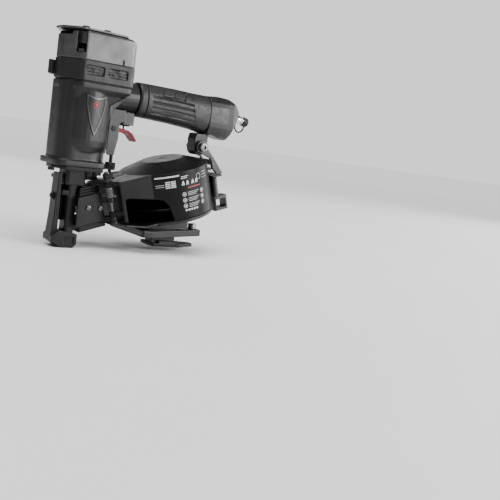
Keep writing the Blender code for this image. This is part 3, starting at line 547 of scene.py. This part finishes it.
def magazine():
    """The canister and its rail, with the round walls, floor and lid as true arcs.

    Each arc is its start, end, facets, low, high and inner, as true_arc takes them.
    """
    base_floor = (-180, 180, 48, -5, 2.9, 40)
    base_wall = (1.2, 160, 24, 2.9, 70, 53)
    cover_wall = (-134, -0.6, 24, 3, 62.2, 53)
    cover_lid = (-180, 180, 48, 62.2, 80, 8)
    refined("magazine_base", voxel=0.6, rounds=3, ratio=0.35, arcs=(base_floor, base_wall))
    refined("magazine_cover", voxel=0.55, rounds=3, ratio=0.35, finish=COVER_BLACK,
            arcs=(cover_wall, cover_lid))
    refined("guide_rail", voxel=0.55, rounds=3, ratio=0.4)


# ---------------------------------------------------------------- handle grip

# The sleeve's sections from front to rear: X, the height of its middle, half width, half height.
GRIP = [(68.3, 187.8, 19.2, 20.6), (70.3, 187.8, 20.2, 21.4), (86, 187.6, 20.4, 21.6),
        (120, 186.4, 20.8, 22.4), (150, 184.4, 20.8, 23.2), (169.7, 183.0, 20.8, 24.4)]
GRIP_POWER = 2.5          # of the superellipse that its sections are
GRIP_BORE = (15.8, 17.8)  # half width and half height of the tube inside
GRIP_BORE_Z = 187.5
GRIP_SIDES = 220
GRIP_STEP = 0.5


def grip_section(x):
    """The height of the sleeve's middle at x, and its half width and half height there."""
    for left, right in zip(GRIP, GRIP[1:]):
        if x <= right[0]:
            share = (x - left[0]) / (right[0] - left[0])
            return [a + (b - a) * share for a, b in zip(left[1:], right[1:])]
    return GRIP[-1][1:]


def pulse(value, centre, half):
    """1 at the centre, falling round to 0 at half to either side."""
    return max(0.0, 1 - ((value - centre) / half) ** 2)


def inside(value, low, high, soft=0.8):
    """1 from low to high, with soft ends."""
    return min(max((value - low) / soft, 0.0), 1.0) * min(max((high - value) / soft, 0.0), 1.0)


def grip_relief(x, y, rise):
    """How far the sleeve's skin sinks at x and y, and at a rise above its middle."""
    collar_groove = 1.4 * pulse(x, 77.9, 0.9)
    if abs(y) <= 6:
        return collar_groove
    panel = inside(x, 84.0, 146.0 - 0.25 * rise) * inside(rise, -15.0, 8.2)
    rib_pitch, rib_top = 7.5, 3.6
    rib = 0.5 + 0.5 * math.cos(2 * math.pi * (rise - rib_top) / rib_pitch)
    depth = collar_groove + panel * (0.25 + 1.5 * (1 - min(1.0, rib * 1.9)))
    for foot in (98.0, 114.0, 130.0):
        lean = foot + 0.28 * (rise - 10) + 0.02 * (rise - 10) ** 2
        depth += 1.5 * pulse(x, lean, 1.0) * inside(rise, 9.6, 19.5)
    return depth + 1.4 * pulse(rise, 9.4, 0.9) * inside(x, 96, 131.5)


def grip():
    """A rubber sleeve with a collar, a ribbed side panel and slanted finger rests above it."""
    unit = circle((0, 0), 1.0, GRIP_SIDES)

    def bore(x):
        return [(x, GRIP_BORE[0] * a, GRIP_BORE_Z + GRIP_BORE[1] * b) for a, b in unit]

    def skin(x):
        z_mid, half_y, half_z = grip_section(x)
        points = []
        for a, b in unit:
            scale = (abs(a) ** GRIP_POWER + abs(b) ** GRIP_POWER) ** (-1 / GRIP_POWER)
            y, rise = half_y * a * scale, half_z * b * scale
            sink = 1 - grip_relief(x, y, rise) / math.hypot(y, rise)
            points.append((x, y * sink, z_mid + rise * sink))
        return points

    start, end = GRIP[0][0], GRIP[-1][0]
    count = int((end - start) / GRIP_STEP)
    skins = [skin(start + (end - start) * i / count) for i in range(count + 1)]
    made_piece("grip_sleeve", loft([bore(start)] + skins + [bore(end)], closed=True), TOOL, "handle_grip")


# ---------------------------------------------------------------- head details

def join(target, extra):
    """Add one bmesh's faces to another."""
    mesh = bpy.data.meshes.new("extra")
    extra.to_mesh(mesh)
    extra.free()
    target.from_mesh(mesh)
    bpy.data.meshes.remove(mesh)


def side_word(side):
    return "left" if side < 0 else "right"


def vent_screens():
    """Strips behind the windows, each a sheet with four slats."""
    sheet_y, sheet_z = 33.8, (204.6, 217.6)
    slat_pitch = 3.2
    slat = [(33.9, 0.0), (34.3, 0.0), (34.9, 1.0), (34.5, 2.1), (33.9, 2.1)]
    for side in (-1, 1):
        word = side_word(side)
        strip = box((-15.3, side * sheet_y - 0.2, sheet_z[0]), (40.2, side * sheet_y + 0.2, sheet_z[1]))
        for i in range(4):
            foot = 205.0 + i * slat_pitch
            join(strip, prism([(side * y, foot + rise) for y, rise in slat], "x", -15.2, 40.1))
        made_piece(f"louvres_{word}", strip, TOOL, f"vent_screen_{word}", FINISH["black_steel"])


BARREL_X = 1.0        # the middle of the barrel's round side
BARREL_SKIN = 33.7
STRIP_WIDTH = 1.0     # of the strips that a bent plate is made of
SHIELD = [(-8.4, 184), (-2.5, 181.7), (4.2, 180.5), (10.9, 181.7), (16.8, 184), (16.4, 175), (14.8, 166),
          (10.4, 151), (4.2, 137), (-2.0, 151), (-6.4, 166), (-8.0, 175)]
SHIELD_MIDDLE = (4.2, 164.5)
DISC_MIDDLE = (4.0, 172.5)


def bent_plate(outline, holes, radius, thickness, side):
    """A plate of the outline, in X and Z, wrapped round the barrel."""
    bm = bmesh.new()
    loops = []
    for points in [outline] + list(holes):
        verts = [bm.verts.new((x, 0, z)) for x, z in points]
        loops += [bm.edges.new((a, b)) for a, b in zip(verts, verts[1:] + verts[:1])]
    bmesh.ops.triangle_fill(bm, use_beauty=True, edges=loops, normal=(0, 1, 0))
    x = min(x for x, _ in outline) + STRIP_WIDTH
    high = max(x for x, _ in outline)
    while x < high:
        geometry = bm.verts[:] + bm.edges[:] + bm.faces[:]
        bmesh.ops.bisect_plane(bm, geom=geometry, dist=1e-5, plane_co=(x, 0, 0), plane_no=(1, 0, 0))
        x += STRIP_WIDTH
    top = bmesh.ops.extrude_face_region(bm, geom=bm.faces[:])
    raised = {v for v in top["geom"] if isinstance(v, bmesh.types.BMVert)}
    for vert in bm.verts:
        reach = radius + (thickness if vert in raised else 0.0)
        offset = vert.co.x - BARREL_X
        vert.co.y = side * math.sqrt(max(reach * reach - offset * offset, 0.0))
    return bm


def scaled(points, factor, centre):
    return [(centre[0] + (x - centre[0]) * factor, centre[1] + (z - centre[1]) * factor) for x, z in points]


def badges():
    """A sunk shield with a raised rim and a plain red disc in a ring."""
    inner_shield = scaled(SHIELD, 0.9, SHIELD_MIDDLE)
    disc = circle(DISC_MIDDLE, 1.9, 24)
    hoop = circle(DISC_MIDDLE, 4.0, 36)
    hoop_hole = circle(DISC_MIDDLE, 3.2, 36)
    for side in (-1, 1):
        word = side_word(side)
        for name, outline, holes, low, thickness, finish, stands in (
                ("ground", SHIELD, [], BARREL_SKIN - 0.1, 0.5, FINISH["dark_paint"], True),
                ("rim", SHIELD, [inner_shield], BARREL_SKIN, 1.0, FINISH["cap_paint"], False),
                ("disc", disc, [], BARREL_SKIN, 0.8, RED_INK, False),
                ("hoop", hoop, [hoop_hole], BARREL_SKIN, 0.7, RED_INK, False)):
            plate = bent_plate(outline, holes, low, thickness, side)
            made_piece(f"badge_{name}_{word}", plate, TOOL, f"side_badge_{word}", finish, stands)


# ---------------------------------------------------------------- fasteners

THREAD_PITCH = 0.8
BOLT_SIDES = 32


def bolt(node, matrix, axis, centre, seat, point, head_r, head_h, shank_r):
    """A socket cap screw along an axis: chamfered head on its seat, threaded shank to its point."""
    side = 1 if seat > point else -1
    end = seat + side * head_h
    profile = [(0.0, point), (shank_r * 0.8, point)]
    for i in range(int(abs(seat - point) / THREAD_PITCH) - 1):
        root = point + side * THREAD_PITCH * (i + 0.5)
        profile += [(shank_r * 0.88, root), (shank_r, root + side * THREAD_PITCH * 0.5)]
    profile += [(shank_r, seat - side * THREAD_PITCH * 0.2), (shank_r, seat), (head_r - 0.2, seat),
                (head_r, seat + side * 0.2), (head_r, end - side * 0.5), (head_r - 0.15, end - side * 0.2),
                (head_r - 0.5, end), (0.0, end)]
    obj = link_mesh(f"fine_{node}", turned(profile, axis, centre, BOLT_SIDES), matrix)
    socket_ends = sorted((end - side * head_h * 0.6, end + side))
    cut_with(obj, prism(circle(centre, head_r * 0.52, 6), axis, *socket_ends), matrix)
    obj.data.shade_smooth()
    obj.data.set_sharp_from_angle(angle=SHARP)
    dress(obj, FINISH[SLOT_OF[node]], BODY_OF[node], SLOT_OF[node], node)


def fasteners():
    front_seat, rear_seat = 229.3, 244.3
    cap_spots = [(-18.0, -27.0, front_seat), (-18.0, 27.0, front_seat),
                 (39.5, -29.0, rear_seat), (39.5, 29.0, rear_seat)]
    for number, (x, y, seat) in enumerate(cap_spots, 1):
        bolt(f"cap_screw_{number}", TOOL, "z", (x, y), seat, 185.0, head_r=4.0, head_h=4.2, shank_r=2.2)
    for number, spot in enumerate([(-13.0, -20.0), (14.0, -20.0)], 1):
        bolt(f"cover_screw_{number}", TOOL, "z", spot, 257.5, 248.0, head_r=4.2, head_h=2.6, shank_r=1.7)
    for number, spot in enumerate([(-29.5, 0.0), (21.0, -20.5), (21.0, 20.5)], 1):
        bolt(f"nose_screw_{number}", TOOL, "z", spot, 94.2, 110.0, head_r=4.0, head_h=3.6, shank_r=2.2)
    for number, spot in enumerate([(-119.0, 38.0), (-103.5, 34.0)], 1):
        bolt(f"door_screw_{number}", DRUM, "y", spot, -19.9, -16.4, head_r=3.0, head_h=1.6, shank_r=1.6)
    bolt("bracket_bolt", TOOL, "y", (167.0, 140.5), -17.3, 17.0, head_r=6.0, head_h=3.6, shank_r=3.4)
    bolt("guide_screw", TOOL, "z", (176.0, 0.0), 30.3, 21.9, head_r=5.4, head_h=7.0, shank_r=2.5)
    refined("bracket_nut", voxel=0.3, rounds=2, ratio=0.4)
    refined("trigger_pin", voxel=0.25, rounds=2, ratio=0.5)
    refined("hinge_pin", voxel=0.3, rounds=2, ratio=0.5)


# ---------------------------------------------------------------- springs, plug, wheel

def springs():
    valve_line = helix("z", DRIVE, radius=19.0, low=213.2, high=238.2, turns=4.5)
    valve = made_piece("valve_spring_wire", wire(valve_line, 1.15), TOOL, "head_valve_spring", SPRING_BLACK)
    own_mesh(valve)
    pawl_line = helix("x", (33.0, 34.0), radius=5.6, low=-98.9, high=-86.1, turns=5)
    pawl = made_piece("pawl_spring_wire", wire(pawl_line, 0.7), DRUM, "feed_spring", SPRING_BLACK)
    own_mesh(pawl)
    reach, foot = 4.5, 47.5
    hinge_line = helix("z", (HINGE.x, HINGE.y), radius=reach, low=foot, high=58.4, turns=7.3)
    tail = [Vector((HINGE.x + reach, HINGE.y - y, foot)) for y in (4.0, 1.5)]
    made_piece("hinge_spring_wire", wire(tail + hinge_line, 0.78), DRUM, "hinge_spring")


def air_fitting():
    """A turned plug with a barbed neck and a hexagon, and the ribbed rubber cap on it."""
    body = [(0.0, -9), (4.9, -9), (4.9, 5.2), (6.9, 5.2), (6.9, 5.5), (6.2, 5.6), (6.2, 9.9), (5.9, 10.1),
            (5.6, 10.4), (5.6, 13.7), (5.3, 14.1), (4.6, 14.4), (4.4, 14.9), (4.4, 17.2), (4.7, 17.7),
            (5.1, 18.0), (5.25, 18.3), (5.25, 19.4), (5.0, 19.7), (3.6, 20.2), (3.4, 20.6), (3.4, 21.9),
            (3.1, 22.2), (0.0, 22.2)]
    made_piece("plug_body", turned(body), PLUG, "air_plug")
    sides, half_across = 96, 6.35
    nut = []
    for height, corner in ((5.5, 6.9), (5.9, 7.3), (9.4, 7.3), (9.9, 6.8)):
        ring = []
        for i in range(sides):
            angle = 2 * math.pi * i / sides
            flat = half_across / math.cos((angle + math.pi / 6) % (math.pi / 3) - math.pi / 6)
            radius = min(corner, flat)
            ring.append((radius * math.cos(angle), radius * math.sin(angle), height))
        nut.append(ring)
    made_piece("plug_hexagon", loft(nut), PLUG, "air_plug", stands=False)
    cup = [(0.0, 28.8), (4.6, 28.8), (5.6, 28.5), (6.1, 27.8), (6.2, 27.1), (5.8, 26.7), (6.2, 26.3),
           (6.2, 25.5), (5.8, 25.1), (6.2, 24.7), (6.2, 23.9), (5.8, 23.5), (6.2, 23.1), (6.2, 21.0),
           (5.9, 20.5), (5.5, 20.5), (3.9, 21.1), (3.8, 22.8), (0.0, 22.8)]
    made_piece("plug_cover", turned(cup), PLUG, "dust_cap")


def strap():
    """The tether, a loop of rubber cord from the plug's neck to its cover."""
    sweep = [math.radians(a) for a in range(-90, 91, 5)]
    loop = [(7.6 + 8.4 * math.cos(a), 0.0, 18.9 + 7.3 * math.sin(a)) for a in sweep]
    points = [(6.0, 0.0, 11.6)] + loop + [(6.4, 0.0, 26.2)]
    obj = link_mesh("cover_tether", wire(points, 1.1), PLUG)
    obj.data.materials.append(FINISH["black_rubber"])
    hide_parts("dust_cap_strap")
    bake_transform(obj)


def wheel():
    """The depth wheel: a knurled ring with eight finger notches."""
    centre_x, centre_y = 43.0, -6.0
    low, high = 98.5, 107.5
    outer, bore, bevel = 6.4, 2.5, 0.4
    notches, notch_depth, tooth_depth = 8, 0.9, 0.18
    sides = 192

    def placed(points, height):
        return [(centre_x + x, centre_y + y, height) for x, y in points]

    def rim(inset):
        points = []
        for i in range(sides):
            angle = 2 * math.pi * i / sides
            notch = max(0.0, math.cos(notches * angle)) ** 6
            tooth = tooth_depth * (i % 4 < 2)
            radius = outer + inset - notch_depth * notch - tooth * (1 - notch)
            points.append((radius * math.cos(angle), radius * math.sin(angle)))
        return points

    hole = circle((0, 0), bore, sides)
    rings = [placed(hole, low), placed(rim(-bevel), low), placed(rim(0.0), low + bevel),
             placed(rim(0.0), high - bevel), placed(rim(-bevel), high), placed(hole, high)]
    made_piece("wheel_knurled", loft(rings, closed=True), TOOL, "depth_wheel")


def tray():
    """The dished plate that the nails stand on, with its hub and a raised rim."""
    profile = [(5.4, 33), (5.7, 33.3), (7.9, 33.3), (8.2, 33), (8.2, 18.2), (9.0, 17.4), (20, 17.3),
               (20.4, 17.7), (22.0, 17.7), (22.4, 17.2), (44, 17.0), (47, 17.3), (49.6, 18.6), (50.2, 18.5),
               (50.0, 17.6), (47.8, 14.9), (47.2, 14.6), (9.5, 14.6), (9.5, 8.4), (9.1, 8), (5.8, 8),
               (5.4, 8.4)]
    made_piece("tray_plate", turned(profile, sides=96), DRUM, "nail_tray")


# ---------------------------------------------------------------- marks on the cover

INK_INNER = 57.0    # the ink's inner face, just under the cover's skin
INK_OUTER = 57.32
HOOP_RADIUS = 57.3  # turns a hoop's millimetres into degrees


def drum_point(angle, height, radius):
    turn = math.radians(angle)
    return (radius * math.cos(turn), radius * math.sin(turn), height)


def drum_patch(bm, start, end, low, high, lean=0.0):
    """A thin printed bar on the drum's side, from start to end in degrees and low to high."""
    steps = max(2, int(abs(end - start) / 1.5))
    rings = []
    for i in range(steps + 1):
        angle = start + (end - start) * i / steps
        rings.append([drum_point(angle, low, INK_INNER), drum_point(angle + lean, high, INK_INNER),
                      drum_point(angle + lean, high, INK_OUTER), drum_point(angle, low, INK_OUTER)])
    join(bm, loft(rings))


def drum_hoop(bm, angle, height, radius, width):
    """A thin printed ring on the drum's side."""
    sides = 24
    rings = []
    for i in range(sides):
        turn = 2 * math.pi * i / sides
        ring = []
        for reach, depth in ((radius - width, INK_INNER), (radius, INK_INNER),
                             (radius, INK_OUTER), (radius - width, INK_OUTER)):
            across = math.degrees(reach * math.cos(turn) / HOOP_RADIUS)
            ring.append(drum_point(angle + across, height + reach * math.sin(turn), depth))
        rings.append(ring)
    join(bm, loft(rings, closed=True))


def cover_marks():
    """Plain bars, dashes and rings where a maker would print a label."""
    white, red = bmesh.new(), bmesh.new()
    drum_patch(white, -131, -100, 58.4, 60.2)
    for row in range(2):
        drum_patch(white, -131, -120, 47.4 + row * 2.4, 47.9 + row * 2.4)
    for row in range(4):
        for start, end in ((-118.5, -112.5), (-111.5, -105.5)):
            drum_patch(white, start, end, 45.4 + row * 2.3, 46.8 + row * 2.3)
    for row in range(2):
        drum_patch(white, -98, -90 + row * 2, 54.6 + row * 2.2, 55.4 + row * 2.2)
    for start in (-98, -92, -84, -78):
        drum_patch(white, start, start + 1.6, 46.2, 51.4, lean=1.8)
        drum_patch(white, start + 2.6, start + 3.8, 46.2, 49.6)
    drum_patch(red, -90, -70, 41.4, 42.8)
    for row in range(3):
        height = 34.6 - row * 7.4
        for angle in (-96, -68):
            drum_hoop(white, angle, height, 2.7, 0.5)
            drum_patch(white, angle - 0.9, angle + 0.9, height - 1.0, height + 1.0)
        for line in range(3):
            drum_patch(white, -91, -74 - line * 2, height + 1.6 - line * 1.9, height + 2.0 - line * 1.9)
    for start in (-97, -93, -89, -85, -81):
        drum_patch(white, start, start + 2.6, 13.2, 15.4)
    for row in range(3):
        drum_patch(white, -64, -54, 56.4 - row * 3.4, 56.8 - row * 3.4)
    drum_hoop(white, -71, 53.0, 3.8, 0.4)
    made_piece("cover_marks_white", white, DRUM, "magazine_cover", WHITE_INK, stands=False)
    made_piece("cover_marks_red", red, DRUM, "magazine_cover", RED_INK, stands=False)


def dress_inner_parts():
    """Give the CAD nodes that nothing stands for, in the head and the valve, their finishes."""
    for node, obj in frame["nodes"].items():
        if not obj.hide_render:
            obj.data.materials.clear()
            obj.data.materials.append(FINISH[SLOT_OF[node]])


castings()
working_parts()
magazine()
grip()
vent_screens()
badges()
fasteners()
springs()
air_fitting()
strap()
wheel()
tray()
cover_marks()
dress_inner_parts()


# ---------------------------------------------------------------- floor, light and camera

FLOOR_RADIUS = 40.0  # metres, as in all of this section
AIM = (0.0, 0.0, 0.13)


def floor():
    """A pale floor whose colour grows a little lighter from 1.5 to 6 m away: painted light that makes up
    for the lamps' light falling off there.
    """
    bm = bmesh.new()
    bmesh.ops.create_circle(bm, cap_ends=True, radius=FLOOR_RADIUS, segments=96)
    obj = link_mesh("floor", bm, Matrix.Identity(4))
    made = Finish("pale_floor")
    near = made.mix(made.ranged(made.noise(3.0), 0.3, 0.7), (0.83, 0.83, 0.83), (0.86, 0.86, 0.86))
    reach = made.node("ShaderNodeVectorMath", operation="LENGTH")
    made.link(made.place, reach.inputs[0])
    # Painted light: the floor's colour is lightened with distance from the object, where the lamps' light
    # falls off.
    painted_far_light = made.ranged(reach.outputs["Value"], 1.5, 6.0)
    made.set(Base_Color=made.mix(painted_far_light, near, (0.95, 0.95, 0.95)))
    made.set(Roughness=0.6)
    made.set(Specular_IOR_Level=0.2)
    obj.data.materials.append(made.material)


def linked(name, data):
    obj = bpy.data.objects.new(name, data)
    bpy.context.scene.collection.objects.link(obj)
    return obj


def lamp(name, position, size, power):
    """A soft panel of light that faces the object."""
    data = bpy.data.lights.new(name, "AREA")
    data.shape = "RECTANGLE"
    data.size, data.size_y = size
    data.energy = power
    obj = linked(name, data)
    obj.location = position
    obj.rotation_euler = (Vector(AIM) - Vector(position)).to_track_quat("-Z", "Y").to_euler()


def backdrop(tree, colour, strength):
    made = tree.nodes.new("ShaderNodeBackground")
    made.inputs["Color"].default_value = (*colour, 1.0)
    made.inputs["Strength"].default_value = strength
    return made.outputs["Background"]


def sky():
    """A dim surround for light and reflections, and a white one behind the object."""
    world = bpy.data.worlds.new("studio")
    bpy.context.scene.world = world
    world.use_nodes = True
    tree = world.node_tree
    tree.nodes.clear()
    paths = tree.nodes.new("ShaderNodeLightPath")
    seen = backdrop(tree, (1.0, 1.0, 1.0), 1.22)
    around = backdrop(tree, (0.95, 0.97, 1.0), 0.12)
    mix = tree.nodes.new("ShaderNodeMixShader")
    out = tree.nodes.new("ShaderNodeOutputWorld")
    tree.links.new(paths.outputs["Is Camera Ray"], mix.inputs["Fac"])
    tree.links.new(around, mix.inputs[1])
    tree.links.new(seen, mix.inputs[2])
    tree.links.new(mix.outputs["Shader"], out.inputs["Surface"])


def daylight():
    """A wide, high sun that lights the floor evenly as far as it goes."""
    data = bpy.data.lights.new("overhead", "SUN")
    data.energy = 3.8
    data.angle = math.radians(50)
    obj = linked("overhead", data)
    obj.rotation_euler = (math.radians(14), math.radians(-10), 0.0)


def camera():
    """A camera in front of the tool and to its left, a little above it, rolled by 8 degrees."""
    data = bpy.data.cameras.new("camera")
    data.lens = 55.9
    data.sensor_width = 36.0
    data.clip_start = 0.05
    obj = linked("camera", data)
    right = Vector((0.8007, -0.5831, 0.1366)).normalized()
    forward = Vector((0.5982, 0.7907, -0.1298))
    forward = (forward - right * forward.dot(right)).normalized()
    up = right.cross(forward)
    turn = Matrix((right, up, -forward)).transposed().to_4x4()
    obj.matrix_world = Matrix.Translation(TOOL @ Vector((-386.91, -881.07, 148.86))) @ turn
    bpy.context.scene.camera = obj


floor()
sky()
daylight()
lamp("key", (1.3, -1.55, 0.6), (1.2, 1.0), 58)
lamp("right", (2.0, -0.1, 0.55), (1.3, 1.0), 22)
lamp("left", (-1.5, -0.2, 0.7), (0.25, 1.3), 1.5)
lamp("rear", (0.4, 1.6, 0.9), (1.0, 1.0), 4)
camera()
